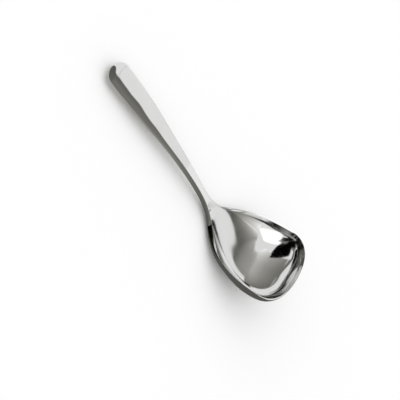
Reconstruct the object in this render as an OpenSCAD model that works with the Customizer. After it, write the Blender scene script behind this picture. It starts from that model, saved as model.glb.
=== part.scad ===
// Serving spoon with a broad blunt bowl and a hollow teardrop handle, in millimetres.
// The shape is drawn in the plane of the bowl's rim: x runs from the handle to the tip, with x = 0 at the
// bowl's heel, y runs across and z rises out of the bowl. It is then laid down to rest on the table, z = 0.

/* [Bowl] */
// Length of the bowl, from its heel to its tip
bowl_length = 78.8; // [72:0.2:90]
// Width across the widest place of the bowl
bowl_width = 76.3; // [64:0.1:86]
// Distance from the tip back to the widest place
widest_from_tip = 21.1; // [17:0.1:28]
// Depth of the bowl's bottom below its rim
bowl_depth = 19.8; // [14:0.2:26]
// Distance from the heel to where the bowl reaches its full depth
full_depth_from_heel = 56; // [46:0.5:62]
// Length of the rounded rise from the bottom to the tip
tip_rise_length = 36.5; // [28:0.5:44]
// Squareness of the blunt tip, where 2 is an ellipse
tip_squareness = 2.3; // [2:0.01:2.7]
// Flatness of the bowl's floor in cross section, where 2 is an ellipse
floor_flatness = 3; // [2:0.1:4]
// Turn of the side walls from the bottom up to the rim, in degrees
wall_turn = 87.5; // [75:0.5:88.5]
// Thickness of the bowl's sheet
bowl_gauge = 1.8; // [1.2:0.1:2.4]

/* [Neck] */
// Width of the narrowest place
waist_width = 7.4; // [6.8:0.1:10]
// Distance from the heel back to the narrowest place
waist_from_heel = 19.4; // [16:0.2:26]
// Thickness of the neck
neck_thickness = 4.5; // [4.2:0.1:6]
// Width of the rounding along the neck's edges
neck_rounding = 0.7; // [0.5:0.1:1.8]
// Reach of the neck's straight run into the flare
flare_start = 25.4; // [20:0.2:32]
// Reach of the bowl's side back from its widest place
flare_end = 56.2; // [46:0.2:60]
// Distance from the heel back to the welded joint of the handle
joint_from_heel = 8; // [6:0.5:12]

/* [Handle] */
// Reach of the handle behind the heel, along the rim plane
handle_reach = 125.6; // [112:0.2:140]
// Width of the handle near its end
handle_width = 25.4; // [20:0.2:30]
// Thickness of the handle near its end
handle_thickness = 10; // [8:0.1:12]
// Distance from the heel back to where the handle starts to swell from the neck's thickness
swell_from_heel = 56; // [40:1:80]
// Length of the rounded end, along the rim plane
end_cap_length = 7.6; // [4:0.2:12]

/* [Side line] */
// Height of the handle's end above the rim plane
end_rise = 78.8; // [70:0.2:86]
// Height at the middle of the handle
middle_rise = 47.4; // [42:0.2:52]
// Height at the waist
waist_rise = 19.3; // [17:0.1:22]
// Height at the heel
heel_rise = 5.9; // [4:0.1:8]
// Height of the rim where its side line levels out
rim_rise = 0.3; // [0:0.1:1.5]
// Height of the tip above the lowest part of the rim
tip_rise = 1.7; // [0:0.1:6]

/* [Handle shells and tang] */
// Wall of the two pressed shells
shell_wall = 0.8; // [0.5:0.05:1]
// Gap between the tang and the shells at the waist
tang_clearance = 0.1; // [0.05:0.05:0.3]
// Length of the tang behind the joint, along the rim plane
tang_length = 42; // [25:1:60]
// Width of the tang at its end
tang_end_width = 4; // [3:0.1:5]
// Thickness of the tang at its end
tang_end_thickness = 2; // [1.5:0.1:3]

/* [Hidden] */

steel = [0.78, 0.78, 0.77];
shell_steel = [0.82, 0.82, 0.81];

bowl_half = bowl_width / 2;
waist_half = waist_width / 2;
handle_half = handle_width / 2;
widest_x = bowl_length - widest_from_tip;
tip_rise_x = bowl_length - tip_rise_length;
waist_x = -waist_from_heel;
joint_x = -joint_from_heel;
swell_x = -swell_from_heel;
end_x = -handle_reach;
cap_x = end_x + end_cap_length;
tang_end_x = joint_x - tang_length;

// the neck's thickness runs out into the sheet between these two places
thin_from = 4;
thin_to = 36;
// the rim's rounding takes over from the handle's rounding by here
rim_edge_from = 15;

// shares of the bowl's length at which the side line levels out and is lowest
level_share = 0.3;
lowest_share = 0.62;
// how gently the basin starts at the joint, where 1 is a plain slope
heel_ease = 1.4;
// share of the tang's length over which it tapers
tang_taper = 0.6;

// number of steps along each stretch of the outline
cap_steps = 10;
taper_steps = 22;
neck_steps = 8;
flare_steps = 26;
tip_steps = 18;
tang_steps = 7;
// number of steps across the bowl and across each shell, odd so that a flat facet lies along the keel
bowl_across = 29;
shell_across = 15;

function lerp(a, b, t) = a + (b - a) * t;
function share(x, from, to) = min(1, max(0, (x - from) / (to - from)));
function ease(t) = t * t * (3 - 2 * t);
function unit(v) = v / max(norm(v), 1e-9);

// Outline: [x, half width] along four stretches from the handle's end to the tip
function cap_point(a) = [cap_x - end_cap_length * cos(a), handle_half * sin(a)];
function taper_point(t) = [lerp(cap_x, waist_x, t), lerp(handle_half, waist_half, ease(t))];
function flare_point(t) =
    let (p = [[waist_x, waist_half], [waist_x + flare_start, waist_half],
              [widest_x - flare_end, bowl_half], [widest_x, bowl_half]], s = 1 - t)
    s * s * s * p[0] + 3 * s * s * t * p[1] + 3 * s * t * t * p[2] + t * t * t * p[3];
function tip_point(a) =
    let (k = 2 / tip_squareness)
    [widest_x + widest_from_tip * pow(sin(a), k), bowl_half * pow(cos(a), k)];

// A station is [x, half width, run along x and along the width of the outline's direction]
function station(point, t, low, high) =
    let (h = (high - low) / 5000, d = unit(point(min(high, t + h)) - point(max(low, t - h))))
    concat(point(t), [abs(d[0]), d[1]]);

// where the flare stretch crosses the joint
function find_flare(x, low = 0, high = 1, count = 40) =
    let (t = (low + high) / 2)
    count == 0 ? t
    : flare_point(t)[0] < x ? find_flare(x, t, high, count - 1)
    : find_flare(x, low, t, count - 1);
joint_t = find_flare(joint_x);

cap_at = function (a) cap_point(a);
taper_at = function (t) taper_point(t);
flare_at = function (t) flare_point(t);
tip_at = function (a) tip_point(a);

handle_stations = concat(
    [for (i = [1 : cap_steps]) station(cap_at, 90 * i / cap_steps, 0, 90)],
    [for (i = [1 : taper_steps]) station(taper_at, i / taper_steps, 0, 1)],
    [for (i = [1 : neck_steps]) station(flare_at, joint_t * i / neck_steps, 0, 1)]);
bowl_stations = concat(
    [for (i = [0 : flare_steps]) station(flare_at, lerp(joint_t, 1, i / flare_steps), 0, 1)],
    [for (i = [1 : tip_steps - 1]) station(tip_at, 90 * i / tip_steps, 0, 90)]);

// Side line: height of the outline above the rim plane, as a smooth curve through the named heights
line_x = [end_x, end_x / 2, waist_x, 0, level_share * bowl_length, lowest_share * bowl_length, bowl_length];
line_z = [end_rise, middle_rise, waist_rise, heel_rise, rim_rise, 0, tip_rise];
line_last = len(line_x) - 1;

// bending of the curve at its points, found by one pass forward and one pass back
function line_pass(i = 1, c = [0], d = [0]) =
    i == line_last ? [c, d]
    : let (h0 = line_x[i] - line_x[i - 1], h1 = line_x[i + 1] - line_x[i],
           turn = 6 * ((line_z[i + 1] - line_z[i]) / h1 - (line_z[i] - line_z[i - 1]) / h0),
           m = 2 * (h0 + h1) - h0 * c[i - 1])
      line_pass(i + 1, concat(c, [h1 / m]), concat(d, [(turn - h0 * d[i - 1]) / m]));
function line_back(pass, i, bends) =
    i == 0 ? concat([0], bends)
    : line_back(pass, i - 1, concat([pass[1][i] - pass[0][i] * bends[0]], bends));
line_bends = line_back(line_pass(), line_last - 1, [0]);

function line_segment(x, i = 0) = i == line_last - 1 || x < line_x[i + 1] ? i : line_segment(x, i + 1);
function line_height(x) =
    let (i = line_segment(x), h = line_x[i + 1] - line_x[i], b = (x - line_x[i]) / h, a = 1 - b)
    a * line_z[i] + b * line_z[i + 1]
    + ((a * a * a - a) * line_bends[i] + (b * b * b - b) * line_bends[i + 1]) * h * h / 6;
function line_slope(x) =
    let (i = line_segment(x), h = line_x[i + 1] - line_x[i], b = (x - line_x[i]) / h, a = 1 - b)
    (line_z[i + 1] - line_z[i]) / h
    + ((1 - 3 * a * a) * line_bends[i] + (3 * b * b - 1) * line_bends[i + 1]) * h / 6;

// Basin: 0 on the outline and 1 at the full depth, eased in from the joint and rounded up to the tip
function basin_level(x) =
    pow(ease(share(x, joint_x, full_depth_from_heel)), heel_ease)
    * (1 - pow(share(x, tip_rise_x, bowl_length), 2));
function basin_root(level) = sqrt(1 - (1 - level) * pow(sin(wall_turn), 2));
function basin_depth(level) = bowl_depth * (basin_root(level) - cos(wall_turn)) / (1 - cos(wall_turn));
function basin_steepness(level) =
    bowl_depth * pow(sin(wall_turn), 2) / (2 * (1 - cos(wall_turn)) * basin_root(level));

// Middle surface at a station, where e runs across from -1 to 1
function floor_share(e) = 1 - pow(abs(e), floor_flatness);
function floor_turn(e) = floor_flatness * sign(e) * pow(abs(e), floor_flatness - 1);
function middle(s, e) = [s[0], s[1] * e, line_height(s[0]) - basin_depth(basin_level(s[0]) * floor_share(e))];
function normal(s, e) =
    let (level = basin_level(s[0]), steep = basin_steepness(level * floor_share(e)), h = 0.01,
         along = line_slope(s[0])
             - steep * floor_share(e) * (basin_level(s[0] + h) - basin_level(s[0] - h)) / (2 * h),
         across = floor_turn(e) * level * steep)
    unit([s[3] * e * across - along * s[1] * s[2], -across * s[2], s[1] * s[2]]);

// Thickness along the spoon, and the width over which its edge is rounded
function thickness(x) =
    lerp(handle_thickness, neck_thickness, ease(share(x, cap_x, swell_x)))
    + (bowl_gauge - neck_thickness) * ease(share(x, thin_from, thin_to));
function edge_round(x, half) =
    let (lens = (x < cap_x ? handle_half : min(half, handle_half)) / 2,
         shaft = lerp(lens, min(neck_rounding, lens), ease(share(x, cap_x, waist_x))))
    lerp(shaft, bowl_gauge / 2, ease(share(x, waist_x, rim_edge_from)));

// One point of the skin: side 1 is the upper face and -1 the lower one
function skin(s, e, side, thick, round_width) =
    let (inset = (1 - e * e) / 2 * s[1] * s[2], r = 1 - min(1, inset / round_width))
    middle(s, e) + side * thick / 2 * sqrt(max(0, 1 - r * r)) * normal(s, e);
function outer(s, e, side) = skin(s, e, side, thickness(s[0]), edge_round(s[0], s[1]));

// the hollow inside the handle, one wall in from the outline
function hollow_station(s) =
    s[0] < cap_x
    ? [lerp(cap_x, s[0], 1 - shell_wall / end_cap_length), s[1] * (1 - shell_wall / handle_half), s[2], s[3]]
    : [s[0], s[1] - shell_wall, s[2], s[3]];
function hollow(s, e, side) =
    let (c = hollow_station(s))
    skin(c, e, side, thickness(c[0]) - 2 * shell_wall, edge_round(c[0], c[1]));

// Steps across, closer together towards the edges
function across(j, steps) = sin(180 * j / steps - 90);
function keel(steps) = across(floor(steps / 2), steps);

// Tang: widest at the joint and tapering to its end, with the hollow's own lens section
tang_root_half = waist_half - shell_wall - tang_clearance;
tang_root_thickness = neck_thickness - 2 * (shell_wall + tang_clearance);
function tang_growth(t) = ease(share(t, 0, tang_taper));
function tang_station(t) =
    [lerp(tang_end_x, joint_x, t), lerp(tang_end_width / 2, tang_root_half, tang_growth(t)), 1, 0];
function tang_thickness(t) = lerp(tang_end_thickness, tang_root_thickness, tang_growth(t));

// Closed ring of points around a section: the upper face across, then the lower face back
function ring(point) = concat(
    [for (j = [0 : bowl_across]) point(across(j, bowl_across), 1)],
    [for (j = [1 : bowl_across - 1]) point(-across(j, bowl_across), -1)]);
tang_rings = [for (i = [0 : tang_steps])
    let (t = i / tang_steps, s = tang_station(t))
    ring(function (e, side) skin(s, e, side, tang_thickness(t), s[1] / 2))];
bowl_rings = [for (s = bowl_stations) ring(function (e, side) outer(s, e, side))];
tip_end = [bowl_length, 0, line_height(bowl_length)];
handle_end = [end_x, 0, line_height(end_x)];
hollow_end = let (x = end_x + shell_wall) [x, 0, line_height(x)];

// Lying down: the slope of the table line that touches both the bowl's bottom and the handle's underside
keel_bowl = [for (s = bowl_stations) outer(s, keel(bowl_across), -1)];
keel_handle = [for (s = handle_stations) outer(s, keel(shell_across), -1)];
function lowest(points, slope) = min([for (p = points) p[2] - slope * p[0]]);
function find_slope(low = -1.5, high = 1, count = 50) =
    let (m = (low + high) / 2)
    count == 0 ? m
    : lowest(keel_bowl, m) > lowest(keel_handle, m) ? find_slope(m, high, count - 1)
    : find_slope(low, m, count - 1);
table_slope = find_slope();
table_angle = atan(table_slope);
function turned(p) =
    let (c = cos(table_angle), n = sin(table_angle))
    [p[0] * c + p[2] * n, p[1], p[2] * c - p[0] * n];
table_height = lowest(keel_bowl, table_slope) * cos(table_angle);
end_turned = min([for (s = handle_stations) for (side = [-1, 1]) turned(outer(s, 0, side))[0]]);
tip_turned = max([for (r = bowl_rings) for (p = r) turned(p)[0]]);
function lay(p) = turned(p) - [(end_turned + tip_turned) / 2, 0, table_height];

// Triangles between two rows of points, where a and b are the first numbers of the rows
function strip(a, b, count, closed = false) =
    [for (j = [0 : count - (closed ? 1 : 2)])
        let (k = (j + 1) % count)
        each [[a + j, b + j, b + k], [a + j, b + k, a + k]]];
function fan(centre, row, count, closed = false) =
    [for (j = [0 : count - (closed ? 1 : 2)]) [centre, row + j, row + (j + 1) % count]];
function flipped(faces) = [for (f = faces) [f[2], f[1], f[0]]];

module bowl() {
    rings = concat(tang_rings, bowl_rings);
    count = 2 * bowl_across;
    last = len(rings) - 1;
    points = concat([for (r = rings) for (p = r) lay(p)], [lay(tip_end)]);
    sides = [for (i = [0 : last - 1]) each strip(i * count, (i + 1) * count, count, true)];
    tip_faces = flipped(fan(len(points) - 1, last * count, count, true));
    tang_face = [[for (j = [0 : count - 1]) j]];
    color(steel) polyhedron(points, concat(sides, tip_faces, tang_face), convexity = 6);
}

// One pressed shell: its outer face, its inner face, the two lands of the seam and its front end
module handle_shell(side) {
    count = shell_across + 1;
    rows = len(handle_stations);
    inside = rows * count + 1;
    steps_across = [for (j = [0 : shell_across]) across(j, shell_across)];
    points = concat(
        [for (s = handle_stations) for (e = steps_across) lay(outer(s, e, side))],
        [lay(handle_end)],
        [for (s = handle_stations) for (e = steps_across) lay(hollow(s, e, side))],
        [lay(hollow_end)]);
    outer_end = rows * count;
    inner_end = inside + rows * count;
    outside_faces = concat(
        fan(outer_end, 0, count),
        [for (i = [0 : rows - 2]) each strip(i * count, (i + 1) * count, count)]);
    inside_faces = concat(
        fan(inner_end, inside, count),
        [for (i = [0 : rows - 2]) each strip(inside + i * count, inside + (i + 1) * count, count)]);
    lands = [for (j = [0, shell_across])
        let (outer_row = concat([outer_end], [for (i = [0 : rows - 1]) i * count + j]),
             inner_row = concat([inner_end], [for (i = [0 : rows - 1]) inside + i * count + j]),
             land = [for (i = [0 : rows - 1])
                 each [[outer_row[i], outer_row[i + 1], inner_row[i + 1]],
                       [outer_row[i], inner_row[i + 1], inner_row[i]]]])
        each (j == 0 ? flipped(land) : land)];
    front = strip((rows - 1) * count, inside + (rows - 1) * count, count);
    faces = concat(outside_faces, flipped(inside_faces), lands, front);
    polyhedron(points, side > 0 ? faces : flipped(faces), convexity = 6);
}

module handle_upper_shell() {
    color(shell_steel) handle_shell(1);
}

module handle_lower_shell() {
    color(shell_steel) handle_shell(-1);
}

bowl();
handle_upper_shell();
handle_lower_shell();
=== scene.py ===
import bpy
import bmesh
from math import atan, cos, pi, radians, sin, sqrt
from mathutils import Matrix, Vector


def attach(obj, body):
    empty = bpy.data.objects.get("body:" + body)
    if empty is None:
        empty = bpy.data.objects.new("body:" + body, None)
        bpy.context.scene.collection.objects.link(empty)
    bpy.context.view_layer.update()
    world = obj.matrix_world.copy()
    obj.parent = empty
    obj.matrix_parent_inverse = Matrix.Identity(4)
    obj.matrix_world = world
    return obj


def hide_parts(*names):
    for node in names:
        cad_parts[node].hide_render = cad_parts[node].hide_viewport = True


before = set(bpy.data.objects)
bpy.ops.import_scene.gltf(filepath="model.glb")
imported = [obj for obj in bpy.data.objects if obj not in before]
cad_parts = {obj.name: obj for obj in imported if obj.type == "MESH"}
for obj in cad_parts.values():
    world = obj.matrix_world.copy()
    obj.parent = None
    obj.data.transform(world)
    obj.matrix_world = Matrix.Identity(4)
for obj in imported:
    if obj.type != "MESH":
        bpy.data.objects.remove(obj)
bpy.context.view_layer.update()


# Bowl: one stamping of stainless steel, graded from a thick neck to a thin sheet and polished to a mirror.
# Its outline is a narrow neck that flares into a broad blunt bowl, and its floor falls from the neck and
# rises again to the tip. A solid tang runs back from the neck inside the handle, where it is welded.

# the spoon is drawn in metres with its rim level: x runs from the bowl's heel, at 0, to the tip,
# y runs across, and z points up out of the bowl
bowl_length = 0.0788
bowl_half = 0.03815
bowl_depth = 0.0198
bowl_gauge = 0.0018
widest_to_tip = 0.0211
widest_x = bowl_length - widest_to_tip
full_depth_x = 0.056
tip_rise = 0.0365
tip_rise_x = bowl_length - tip_rise
tip_squareness = 2.3
floor_flatness = 3
heel_ease = 1.4
wall_turn = radians(87.5)
thin_from = 0.004
thin_to = 0.036
rim_edge_x = 0.015

# the neck, and the joint where the handle's shells butt on it
waist_x = -0.0194
waist_half = 0.0037
neck_thickness = 0.0045
neck_rounding = 0.0007
joint_x = -0.008
flare_start = 0.0254
flare_end = 0.0562

# the handle, whose form runs on from the neck
handle_end_x = -0.1256
end_cap_length = 0.0076
cap_x = handle_end_x + end_cap_length
swell_x = -0.056
handle_half = 0.0127
handle_thickness = 0.010

# the line of the spoon's edge, seen from the side
rim_level_x = 0.3 * bowl_length
rim_lowest_x = 0.62 * bowl_length
side_line_x = [handle_end_x, handle_end_x / 2, waist_x, 0, rim_level_x, rim_lowest_x, bowl_length]
side_line_z = [0.0788, 0.0474, 0.0193, 0.0059, 0.0003, 0, 0.0017]


def share(x, start, end):
    # how far x lies on the way from start to end, between 0 and 1
    return min(1, max(0, (x - start) / (end - start)))


def ease(t):
    # a rise from 0 to 1 with a soft start and a soft stop
    return t * t * (3 - 2 * t)


def side_line_bends():
    # bending of the smooth side line at each of its points, with straight ends
    last = len(side_line_x) - 1
    carry, load = [0], [0]
    for i in range(1, last):
        h0 = side_line_x[i] - side_line_x[i - 1]
        h1 = side_line_x[i + 1] - side_line_x[i]
        turn = 6 * ((side_line_z[i + 1] - side_line_z[i]) / h1 - (side_line_z[i] - side_line_z[i - 1]) / h0)
        m = 2 * (h0 + h1) - h0 * carry[-1]
        carry.append(h1 / m)
        load.append((turn - h0 * load[-1]) / m)
    bends = [0]
    for i in range(last - 1, 0, -1):
        bends.insert(0, load[i] - carry[i] * bends[0])
    return [0] + bends


bends = side_line_bends()


def side_line(x):
    # height and slope of the edge line at x
    i = max(k for k in range(len(side_line_x) - 1) if k == 0 or x >= side_line_x[k])
    h = side_line_x[i + 1] - side_line_x[i]
    b = (x - side_line_x[i]) / h
    a = 1 - b
    height = (a * side_line_z[i] + b * side_line_z[i + 1]
              + ((a ** 3 - a) * bends[i] + (b ** 3 - b) * bends[i + 1]) * h * h / 6)
    slope = ((side_line_z[i + 1] - side_line_z[i]) / h
             + ((1 - 3 * a * a) * bends[i] + (3 * b * b - 1) * bends[i + 1]) * h / 6)
    return height, slope


def cap_point(t):
    # outline of the handle's rounded end
    return Vector((cap_x - end_cap_length * cos(t * pi / 2), handle_half * sin(t * pi / 2)))


def taper_point(t):
    # outline from the handle's end to the waist
    return Vector((cap_x + (waist_x - cap_x) * t, handle_half + (waist_half - handle_half) * ease(t)))


def flare_point(t):
    # outline from the waist to the bowl's widest place
    s = 1 - t
    points = [Vector((waist_x, waist_half)), Vector((waist_x + flare_start, waist_half)),
              Vector((widest_x - flare_end, bowl_half)), Vector((widest_x, bowl_half))]
    return s ** 3 * points[0] + 3 * s * s * t * points[1] + 3 * s * t * t * points[2] + t ** 3 * points[3]


def tip_point(t):
    # outline from the widest place round to the blunt tip
    k = 2 / tip_squareness
    a = t * pi / 2
    return Vector((widest_x + (bowl_length - widest_x) * sin(a) ** k, bowl_half * max(0, cos(a)) ** k))


def station(point, t):
    # a place on the outline, with the share of its direction that runs along x and across
    step = 0.0002
    d = (point(min(1, t + step)) - point(max(0, t - step))).normalized()
    p = point(t)
    return p.x, max(p.y, 0), abs(d.x), d.y


def basin_level(x):
    # how deep the middle of the spoon is at x, from 0 at the joint and the tip to 1
    return ease(share(x, joint_x, full_depth_x)) ** heel_ease * (1 - share(x, tip_rise_x, bowl_length) ** 2)


def thickness(x):
    # plump at the handle's end, even along the neck and thin in the bowl
    plump = handle_thickness + (neck_thickness - handle_thickness) * ease(share(x, cap_x, swell_x))
    return plump + (bowl_gauge - neck_thickness) * ease(share(x, thin_from, thin_to))


def edge_round(x, half):
    # how far in from its edges a section is rounded: all across at the handle's end, and little at the neck
    lens = (handle_half if x < cap_x else min(half, handle_half)) / 2
    shaft = lens + (min(neck_rounding, lens) - lens) * ease(share(x, cap_x, waist_x))
    return shaft + (bowl_gauge / 2 - shaft) * ease(share(x, waist_x, rim_edge_x))


def skin(place, e, side, thick=None, rounding=None):
    # a point on the upper (1) or lower (-1) face, where e runs across from -1 to 1
    # the floor is an arc, level in the middle and steep at the rim
    x, half, run, rise = place
    level = basin_level(x)
    floor_share = 1 - abs(e) ** floor_flatness
    root = sqrt(1 - (1 - level * floor_share) * sin(wall_turn) ** 2)
    depth = bowl_depth * (root - cos(wall_turn)) / (1 - cos(wall_turn))
    steep = bowl_depth * sin(wall_turn) ** 2 / (2 * (1 - cos(wall_turn)) * root)
    height, slope = side_line(x)
    step = 0.00001
    along = slope - steep * floor_share * (basin_level(x + step) - basin_level(x - step)) / (2 * step)
    across = floor_flatness * e * abs(e) ** (floor_flatness - 2) * level * steep
    normal = Vector((rise * e * across - along * half * run, -across * run, half * run))
    middle = Vector((x, half * e, height - depth))
    inset = (1 - e * e) / 2 * half * run
    r = 1 - min(1, inset / (rounding or edge_round(x, half)))
    return middle + side * (thick or thickness(x)) / 2 * sqrt(max(0, 1 - r * r)) * normal.normalized()


halvings = 50


def halve_to(start, too_low):
    # the place, within half a unit of start, where too_low stops being true
    place = start
    for i in range(halvings):
        place += (0.25 if too_low(place) else -0.25) * 0.5 ** i
    return place


flare_joint = halve_to(0.5, lambda t: flare_point(t).x < joint_x)
cap_rows = 24
taper_rows = 70
waist_rows = 24
flare_rows = 90
tip_rows = 60
handle_stations = ([station(cap_point, i / cap_rows) for i in range(cap_rows + 1)]
                   + [station(taper_point, i / taper_rows) for i in range(1, taper_rows + 1)]
                   + [station(flare_point, flare_joint * i / waist_rows) for i in range(1, waist_rows + 1)])
flare_shares = [flare_joint + (1 - flare_joint) * i / flare_rows for i in range(flare_rows + 1)]
bowl_stations = ([station(flare_point, t) for t in flare_shares]
                 + [station(tip_point, i / tip_rows) for i in range(1, tip_rows + 1)])


def lowest(points, slope):
    # where a line of this slope, laid under the points, crosses x = 0
    return min(p.z - slope * p.x for p in points)


# the drawn spoon is laid on the table, which it touches with its bowl's bottom and its handle's end
keel_bowl = [skin(s, 0, -1) for s in bowl_stations[:-1]]
keel_handle = [skin(s, 0, -1) for s in handle_stations[1:]]
table_slope = halve_to(-0.5, lambda slope: lowest(keel_bowl, slope) > lowest(keel_handle, slope))
table_angle = atan(table_slope)
table_height = lowest(keel_bowl, table_slope) * cos(table_angle)
lay_turn = Matrix.Rotation(table_angle, 4, "Y")

# the origin is under the middle of the laid spoon
reach_steps = 20
tip_places = [skin(s, e / reach_steps, side) for s in bowl_stations[flare_rows:-1]
              for e in range(reach_steps + 1) for side in (-1, 1)]
tip_reach = max((lay_turn @ p).x for p in tip_places)
end_places = [skin(s, 0, side) for s in handle_stations[1:cap_rows] for side in (-1, 1)]
end_reach = min((lay_turn @ p).x for p in end_places)
lay = Matrix.Translation((-(tip_reach + end_reach) / 2, 0, -table_height)) @ lay_turn


def face_sheet(bm, stations, side, steps, point=skin):
    # one face of the spoon: a grid laid along the stations, closer together towards the edges
    rows = len(stations) - 1
    sheet = bmesh.ops.create_grid(bm, x_segments=rows, y_segments=steps, size=0.5)["verts"]
    for v in sheet:
        i = round((v.co.x + 0.5) * rows)
        e = sin(v.co.y * pi)
        v.co = lay @ point(stations[i], e, side)
    if side < 0:
        bmesh.ops.reverse_faces(bm, faces=list({f for v in sheet for f in v.link_faces}))


merge_distance = 0.000002
sharp_angle = radians(50)


def finished(name, bm):
    # the piece as an object, shaded smooth but for its sharp edges
    bmesh.ops.remove_doubles(bm, verts=bm.verts, dist=merge_distance)
    mesh = bpy.data.meshes.new(name)
    bm.to_mesh(mesh)
    bm.free()
    for polygon in mesh.polygons:
        polygon.use_smooth = True
    mesh.set_sharp_from_angle(angle=sharp_angle)
    piece = bpy.data.objects.new(name, mesh)
    bpy.context.collection.objects.link(piece)
    return piece


# the tang fits between the shells at the joint and tapers to a slim end inside the handle
shell_wall = 0.0008
tang_clearance = 0.0001
tang_length = 0.042
tang_taper = 0.6
tang_end_half = 0.002
tang_end_thickness = 0.002
tang_root_half = waist_half - shell_wall - tang_clearance
tang_root_thickness = neck_thickness - 2 * (shell_wall + tang_clearance)
tang_rows = 20
tang_across = 24
tang_places = [i / tang_rows for i in range(tang_rows + 1)]


def tang_point(t, e, side):
    # a point on the tang, where t runs from its far end, at 0, to its root, at 1
    grow = ease(share(t, 0, tang_taper))
    half = tang_end_half + (tang_root_half - tang_end_half) * grow
    thick = tang_end_thickness + (tang_root_thickness - tang_end_thickness) * grow
    return skin((joint_x - tang_length * (1 - t), half, 1, 0), e, side, thick, half / 2)


bowl_across = 120
bm = bmesh.new()
for side in (1, -1):
    face_sheet(bm, bowl_stations, side, bowl_across)
for side in (1, -1):
    face_sheet(bm, tang_places, side, tang_across, tang_point)
bmesh.ops.remove_doubles(bm, verts=bm.verts, dist=merge_distance)

# the neck's end and the tang's root are bridged by a shoulder, and the tang's far end is closed
ends = [edge for edge in bm.edges if edge.is_boundary]
shoulder = [edge for edge in ends if edge.verts[0].co.x > 0]
bmesh.ops.bridge_loops(bm, edges=shoulder)
bmesh.ops.edgeloop_fill(bm, edges=[edge for edge in ends if edge not in shoulder])
bowl = finished("spoon_bowl", bm)

line_stretch = (30, 2200, 2200)
line_detail = 2
line_depth = 0.0000004
cloud_scale = 55
cloud_detail = 4
wave_scale = 75
wave_middle = 0.5
wave_fade = 0.04
wear_spread = (0.12, 0.42)
wear_roughness = (0.6, 1.5)


def hand_polish():
    # what buffing leaves on steel: fine lines along the spoon, faint cloudy patches and very low waves
    group = bpy.data.node_groups.new("hand_polish", "ShaderNodeTree")
    for way, kind, sockets in (("INPUT", "NodeSocketVector", ["Place"]),
                               ("INPUT", "NodeSocketColor", ["Dull Tone", "Bright Tone"]),
                               ("INPUT", "NodeSocketFloat", ["Roughness"]),
                               ("OUTPUT", "NodeSocketColor", ["Tone"]),
                               ("OUTPUT", "NodeSocketFloat", ["Roughness", "Waves", "Lines"])):
        for socket in sockets:
            group.interface.new_socket(socket, in_out=way, socket_type=kind)
    nodes, links = group.nodes, group.links
    given = nodes.new("NodeGroupInput")
    result = nodes.new("NodeGroupOutput")

    stretch = nodes.new("ShaderNodeMapping")
    stretch.inputs["Scale"].default_value = line_stretch
    lines = nodes.new("ShaderNodeTexNoise")
    lines.inputs["Scale"].default_value = 1
    lines.inputs["Detail"].default_value = line_detail
    clouds = nodes.new("ShaderNodeTexNoise")
    clouds.inputs["Scale"].default_value = cloud_scale
    clouds.inputs["Detail"].default_value = cloud_detail
    waves = nodes.new("ShaderNodeTexNoise")
    waves.inputs["Scale"].default_value = wave_scale
    waves.inputs["Detail"].default_value = 0
    links.new(given.outputs["Place"], stretch.inputs["Vector"])
    links.new(stretch.outputs["Vector"], lines.inputs["Vector"])
    links.new(given.outputs["Place"], clouds.inputs["Vector"])
    links.new(given.outputs["Place"], waves.inputs["Vector"])

    wear = nodes.new("ShaderNodeMath")
    wear.operation = "MULTIPLY"
    links.new(lines.outputs["Fac"], wear.inputs[0])
    links.new(clouds.outputs["Fac"], wear.inputs[1])
    dulled = nodes.new("ShaderNodeMapRange")
    dulled.inputs["From Min"].default_value, dulled.inputs["From Max"].default_value = wear_spread
    dulled.inputs["To Min"].default_value, dulled.inputs["To Max"].default_value = wear_roughness
    links.new(wear.outputs[0], dulled.inputs["Value"])
    rough = nodes.new("ShaderNodeMath")
    rough.operation = "MULTIPLY"
    links.new(dulled.outputs["Result"], rough.inputs[0])
    links.new(given.outputs["Roughness"], rough.inputs[1])
    tone = nodes.new("ShaderNodeMix")
    tone.data_type = "RGBA"
    links.new(clouds.outputs["Fac"], tone.inputs["Factor"])
    links.new(given.outputs["Dull Tone"], tone.inputs["A"])
    links.new(given.outputs["Bright Tone"], tone.inputs["B"])

    links.new(tone.outputs["Result"], result.inputs["Tone"])
    links.new(rough.outputs[0], result.inputs["Roughness"])
    links.new(waves.outputs["Fac"], result.inputs["Waves"])
    links.new(lines.outputs["Fac"], result.inputs["Lines"])
    return group


polish = hand_polish()


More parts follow.
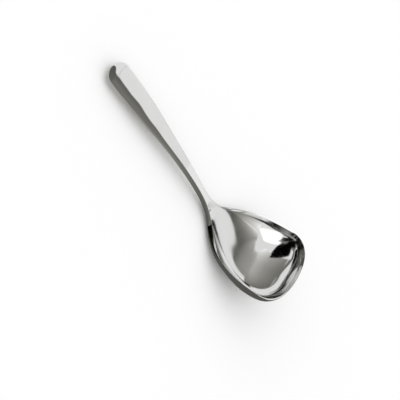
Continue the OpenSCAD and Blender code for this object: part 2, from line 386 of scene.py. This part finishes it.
def polished_steel(name, dull, bright, roughness, wave_height, waves_to):
    # buffed steel, whose waves fade out along the spoon and end at waves_to
    material = bpy.data.materials.new(name)
    material.use_nodes = True
    nodes, links = material.node_tree.nodes, material.node_tree.links
    shader = nodes["Principled BSDF"]
    shader.inputs["Metallic"].default_value = 1
    place = nodes.new("ShaderNodeTexCoord")
    buffed = nodes.new("ShaderNodeGroup")
    buffed.node_tree = polish
    buffed.inputs["Dull Tone"].default_value = dull
    buffed.inputs["Bright Tone"].default_value = bright
    buffed.inputs["Roughness"].default_value = roughness
    links.new(place.outputs["Object"], buffed.inputs["Place"])
    links.new(buffed.outputs["Tone"], shader.inputs["Base Color"])
    links.new(buffed.outputs["Roughness"], shader.inputs["Roughness"])

    split = nodes.new("ShaderNodeSeparateXYZ")
    links.new(place.outputs["Object"], split.inputs["Vector"])
    broad = nodes.new("ShaderNodeMapRange")
    broad.interpolation_type = "SMOOTHSTEP"
    broad.inputs["From Min"].default_value = waves_to
    broad.inputs["From Max"].default_value = waves_to - wave_fade
    links.new(split.outputs["X"], broad.inputs["Value"])
    height = nodes.new("ShaderNodeMix")
    height.inputs["A"].default_value = wave_middle
    links.new(broad.outputs["Result"], height.inputs["Factor"])
    links.new(buffed.outputs["Waves"], height.inputs["B"])
    swell = nodes.new("ShaderNodeBump")
    swell.inputs["Distance"].default_value = wave_height
    links.new(height.outputs["Result"], swell.inputs["Height"])

    scratch = nodes.new("ShaderNodeBump")
    scratch.inputs["Distance"].default_value = line_depth
    links.new(buffed.outputs["Lines"], scratch.inputs["Height"])
    links.new(swell.outputs["Normal"], scratch.inputs["Normal"])
    links.new(scratch.outputs["Normal"], shader.inputs["Normal"])
    return material


bowl_steel = polished_steel("bowl_steel", dull=(0.66, 0.66, 0.655, 1), bright=(0.74, 0.74, 0.735, 1),
                            roughness=0.1, wave_height=0.000008, waves_to=0.2)
bowl.data.materials.append(bowl_steel)
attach(bowl, "root")
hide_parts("bowl")


# Handle shells: two thin pressings of stainless steel, one for the crowned top and one for the underside.
# They are welded edge to edge along the sides of the handle and to the neck, and the welds are ground away.
# Grinding and buffing leave the broad flat crown with low waves, which bend what it mirrors.
handle_steel = polished_steel("handle_steel", dull=(0.67, 0.67, 0.665, 1), bright=(0.74, 0.74, 0.735, 1),
                              roughness=0.12, wave_height=0.0008, waves_to=-0.02)

# a short dark trace of the ground weld is left on one side of the neck, beside the joint with the bowl
weld_side = -0.6
weld_reach = Vector((0.0006, 0.0016, 0.0012))
weld_place = lay @ skin(handle_stations[-1], weld_side, 1) - Vector((weld_reach.x, 0, 0))
weld_core = 0.6
weld_tone = (0.03, 0.03, 0.026, 1)
nodes, links = handle_steel.node_tree.nodes, handle_steel.node_tree.links
trace = nodes.new("ShaderNodeMapping")
trace.vector_type = "TEXTURE"
trace.inputs["Location"].default_value = weld_place
trace.inputs["Scale"].default_value = weld_reach
away = nodes.new("ShaderNodeVectorMath")
away.operation = "LENGTH"
fade = nodes.new("ShaderNodeMapRange")
fade.inputs["From Min"].default_value = weld_core
fade.inputs["To Min"].default_value = 1
fade.inputs["To Max"].default_value = 0
stained = nodes.new("ShaderNodeMix")
stained.data_type = "RGBA"
stained.inputs["B"].default_value = weld_tone
links.new(nodes["Texture Coordinate"].outputs["Object"], trace.inputs["Vector"])
links.new(trace.outputs["Vector"], away.inputs[0])
links.new(away.outputs["Value"], fade.inputs["Value"])
links.new(fade.outputs["Result"], stained.inputs["Factor"])
links.new(nodes["Group"].outputs["Tone"], stained.inputs["A"])
links.new(stained.outputs["Result"], nodes["Principled BSDF"].inputs["Base Color"])

# each shell is one face of the handle, thickened inwards
shell_across = 60
for name, side in (("handle_upper_shell", 1), ("handle_lower_shell", -1)):
    bm = bmesh.new()
    face_sheet(bm, handle_stations, side, shell_across)
    bmesh.ops.remove_doubles(bm, verts=bm.verts, dist=merge_distance)
    bmesh.ops.solidify(bm, geom=bm.faces[:], thickness=shell_wall)
    shell = finished("spoon_" + name, bm)
    shell.data.materials.append(handle_steel)
    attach(shell, "root")
    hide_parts(name)


# Table: a plain white table top that the spoon lies on, which keeps its soft shadow.
# An even white room stands all round and lights the spoon from every side.
table_reach = 3
bm = bmesh.new()
bmesh.ops.create_grid(bm, x_segments=1, y_segments=1, size=table_reach)
mesh = bpy.data.meshes.new("table")
bm.to_mesh(mesh)
bm.free()
table = bpy.data.objects.new("table", mesh)
bpy.context.collection.objects.link(table)
table_white = bpy.data.materials.new("table_white")
table_white.use_nodes = True
shader = table_white.node_tree.nodes["Principled BSDF"]
shader.inputs["Base Color"].default_value = (1, 1, 1, 1)
shader.inputs["Roughness"].default_value = 1
shader.inputs["Specular IOR Level"].default_value = 0
table.data.materials.append(table_white)

room = bpy.data.worlds.new("white_room")
room.use_nodes = True
room.node_tree.nodes["Background"].inputs["Color"].default_value = (1, 1, 1, 1)
room.node_tree.nodes["Background"].inputs["Strength"].default_value = 1
bpy.context.scene.world = room
bpy.context.scene.view_settings.view_transform = "Standard"


# Studio boards: glowing sheets stood round the spoon where a photographer stands cards and a softbox round
# polished steel. They are painted reflections of light and shade: they show only in the steel, the camera
# and the table don't see them, they cast no shadow, and the white room gives all the light.
# A sheet is black on its back, and its front glows, fading from corner to corner between tones, where 1 is
# white.
reflection_glow = bpy.data.materials.new("reflection_glow")
reflection_glow.use_nodes = True
nodes, links = reflection_glow.node_tree.nodes, reflection_glow.node_tree.links
nodes.remove(nodes["Principled BSDF"])
glow = nodes.new("ShaderNodeEmission")
card_tone = nodes.new("ShaderNodeAttribute")
card_tone.attribute_name = "tone"
sides = nodes.new("ShaderNodeNewGeometry")
front = nodes.new("ShaderNodeMath")
front.operation = "SUBTRACT"
front.inputs[0].default_value = 1
links.new(sides.outputs["Backfacing"], front.inputs[1])
links.new(card_tone.outputs["Color"], glow.inputs["Color"])
links.new(front.outputs[0], glow.inputs["Strength"])
links.new(glow.outputs["Emission"], nodes["Material Output"].inputs["Surface"])

# dark tones are tinted warm, so the painted shade in the steel is warm
painted_shade_tint = (1, 0.98, 0.87)
board_steps = 8


def set_board(name, *corners):
    # a sheet between four corners, each x, y, z and a tone, given anticlockwise as its front is seen
    bm = bmesh.new()
    tone_layer = bm.verts.layers.float_color.new("tone")
    bmesh.ops.create_grid(bm, x_segments=board_steps, y_segments=board_steps, size=0.5)
    for v in bm.verts:
        a = v.co.x + 0.5
        b = v.co.y + 0.5
        shares = ((1 - a) * (1 - b), a * (1 - b), a * b, (1 - a) * b)
        x, y, z, level = [sum(part * corner[k] for part, corner in zip(shares, corners)) for k in range(4)]
        shade = max(0, 1 - level)
        v.co = (x, y, z)
        v[tone_layer] = [level * (1 + (tint - 1) * shade) for tint in painted_shade_tint] + [1]
    mesh = bpy.data.meshes.new(name)
    bm.to_mesh(mesh)
    bm.free()
    mesh.materials.append(reflection_glow)
    board = bpy.data.objects.new(name, mesh)
    board.visible_camera = False
    board.visible_diffuse = False
    board.visible_transmission = False
    board.visible_shadow = False
    bpy.context.collection.objects.link(board)


def lay_board(name, z, *corners):
    # a level sheet, whose corners are x, y and a tone
    set_board(name, *((x, y, z, tone) for x, y, tone in corners))


def stand_across(name, x, *corners):
    # an upright sheet across the spoon, whose corners are y, z and a tone
    set_board(name, *((x, y, z, tone) for y, z, tone in corners))


def stand_along(name, y, *corners):
    # an upright sheet along the spoon, whose corners are x, z and a tone
    set_board(name, *((x, y, z, tone) for x, z, tone in corners))


black = 0
soft_black = 0.03
dark = 0.12
grey = 0.21
white = 1
bright_white = 1.1
painted_highlight_white = 1.5

# sheets laid just over the table, seen only in the steel, which paint shade into its reflections of the
# table:
# dark on the near side, fading to white beyond the bowl, and a black one beyond the neck
shade_sheet_z = 0.0005
lay_board("painted_shade_by_handle", shade_sheet_z, (-0.25, -0.9, 0.5), (0.03, -0.9, dark),
          (0.03, 0.004, dark), (-0.25, 0.004, white))
lay_board("painted_shade_by_bowl", shade_sheet_z, (0.03, -0.9, dark), (0.6, -0.9, dark), (0.2, 0, dark), (0.03, 0, dark))
lay_board("painted_shade_fade", shade_sheet_z, (0.03, 0, dark), (0.2, 0, dark), (0.2, 0.15, white), (0.03, 0.15, white))
lay_board("painted_shade_far_side", shade_sheet_z, (-0.06, 0.014, black), (0.03, 0.014, black),
          (0.03, 0.1, black), (-0.06, 0.1, black))

# grey boards close to the handle, along its near side and past its end, which paint shade into its
# reflections
past_end_x = -0.118
set_board("board_beside_handle", (0.04, -0.053, 0, grey), (-0.12, -0.065, 0, grey),
          (-0.12, -0.065, 0.1, grey), (0.04, -0.053, 0.1, grey))
stand_across("board_past_handle", past_end_x, (-0.066, 0, 0.2), (0.01, 0, dark),
             (0.01, 0.035, dark), (-0.066, 0.1, 0.2))

# boards over the handle, which paint light and shade into its reflections and slope up from the bowl, so
# that the bowl sees them almost edge-on
over_far = (-0.1, 0.12, 0.214, dark)
over_near = (-0.15, -0.16, 0.274, 0.24)
over_neck = (0.047, 0.03, 0.033, 0.22)
set_board("board_over_handle", over_far, over_neck, (0.05, -0.21, 0.03, 0.22), over_near)
set_board("board_over_handle_edge", (-0.1, 0.15, 0.214, white), (0.047, 0.036, 0.033, white),
          over_neck, over_far)
set_board("board_over_end", over_far, over_near, (-0.45, -0.2, 0.634, 0.2), (-0.67, 0.56, 0.898, dark))

# black boards, which the bowl's walls and its rim mirror as painted shade
behind_x = -0.155
in_front_y = -0.6
beyond_y = 0.2
stand_across("board_behind", behind_x, (-0.17, 0, black), (-0.17, 0.25, black),
             (-1.1, 0.59, black), (-1.1, 0, black))
stand_along("board_in_front", in_front_y, (0.2, 0, black), (behind_x, 0, black),
            (behind_x, 0.16, black), (0.2, 0.1, black))
stand_along("board_beyond_bowl", beyond_y, (0.26, 0, soft_black), (0.26, 0.125, soft_black),
            (0.05, 0.1, soft_black), (0.05, 0, soft_black))

# flags, which turn their black backs to the bowl and a glowing white or grey front to the neck and the
# handle, as painted light and shade in their reflections
flag_x = 0.035
far_flag_x = -0.1005
stand_across("flag_by_neck", flag_x, (-0.01, 0, grey), (-0.12, 0, grey),
             (-0.12, 0.06, grey), (-0.01, 0.06, grey))
stand_across("flag_over_neck", flag_x, (0.011, 0.013, white), (-0.01, 0.013, white),
             (-0.01, 0.05, white), (0.008, 0.05, white))
stand_across("flag_far_side", far_flag_x, (0.1, 0, white), (0.014, 0, white),
             (0.014, 0.015, white), (0.1, 0.02, white))

# a glowing white sheet hung level beside the neck, face down and seen only in the steel, which the bowl's
# tip mirrors by way of the bowl's wall as a painted highlight
glow_over_neck_z = 0.031
lay_board("painted_highlight_over_neck", glow_over_neck_z, (0, 0.013, bright_white), (0, 0.055, bright_white),
          (0.044, 0.055, bright_white), (0.044, 0.013, bright_white))

# a glowing sheet where a softbox would stand, which lights nothing and is mirrored as the white patch in
# the bowl, a painted highlight, and panels beside it, mirrored in the bowl's floor as painted light and
# shade
fold_top = (0.09, 0.055, 0.26)
fold_foot = (0.15, 0.18, 0.158)
set_board("painted_highlight_sheet", (-0.45, -0.3, 0.6, painted_highlight_white), (0, -0.04, 0.85, painted_highlight_white),
          (0.25, -0.35, 0.75, painted_highlight_white), (0.15, -0.85, 0.1, painted_highlight_white))
set_board("panel_near", (0.23, -0.24, 0.09, 0.6), (0.15, -0.15, 0.26, 1.4),
          (0.13, -0.05, 0.3, white), (0.28, 0.12, 0.18, 0.06))
set_board("panel_middle", (0.26, 0.08, 0.18, 0.04), (0.1, -0.01, 0.26, white),
          (*fold_top, 0.45), (*fold_foot, dark))
set_board("panel_fold", (*fold_foot, 0.16), (*fold_top, 0.5),
          (0.09, 0.085, 0.25, 0.7), (0.081, 0.1, 0.085, 0.36))

# a tall panel that runs away from the spoon in line with the handle's end, which sees it almost edge-on,
# as painted light and shade in its reflection
panel_x = -0.101
panel_back_x = -0.1012
panel_turn_y = 4
stand_across("panel_far", panel_x, (1.3, 0.45, 0.25), (1.3, 2.2, 0.6), (0.1, 0.5, 1.3), (0.1, 0, 0.15))
stand_across("panel_far_back", panel_back_x, (0.1, 0, white), (0.1, 0.5, white),
             (1.3, 2.2, white), (1.3, 0.45, white))
stand_across("panel_far_end", panel_x, (panel_turn_y, 1.4, 0.25), (panel_turn_y, 6.8, 0.6),
             (1.3, 2.2, 0.6), (1.3, 0.45, 0.25))
stand_along("panel_far_turn", panel_turn_y, (0.05, 1.5, 0.25), (0.05, 7, 0.6),
            (panel_x, 6.8, 0.6), (panel_x, 1.4, 0.25))


# Camera: at the photograph's viewing angle and distance. It is turned on its side, because the photograph
# shows the spoon turned, and its shift only frames the spoon as the photograph does.
camera_place = (-0.3085, -0.6136, 0.5591)
right = Vector((0.5231, 0.3925, 0.7565))
up = Vector((-0.7595, 0.6174, 0.2049))
camera_data = bpy.data.cameras.new("camera")
camera_data.sensor_width = 36
camera_data.lens = 103.85
camera_data.shift_x = -0.0335
camera_data.shift_y = 0.0545
camera = bpy.data.objects.new("camera", camera_data)
turn = Matrix((right, up, right.cross(up))).transposed().to_4x4()
camera.matrix_world = Matrix.Translation(camera_place) @ turn
bpy.context.collection.objects.link(camera)
bpy.context.scene.camera = camera
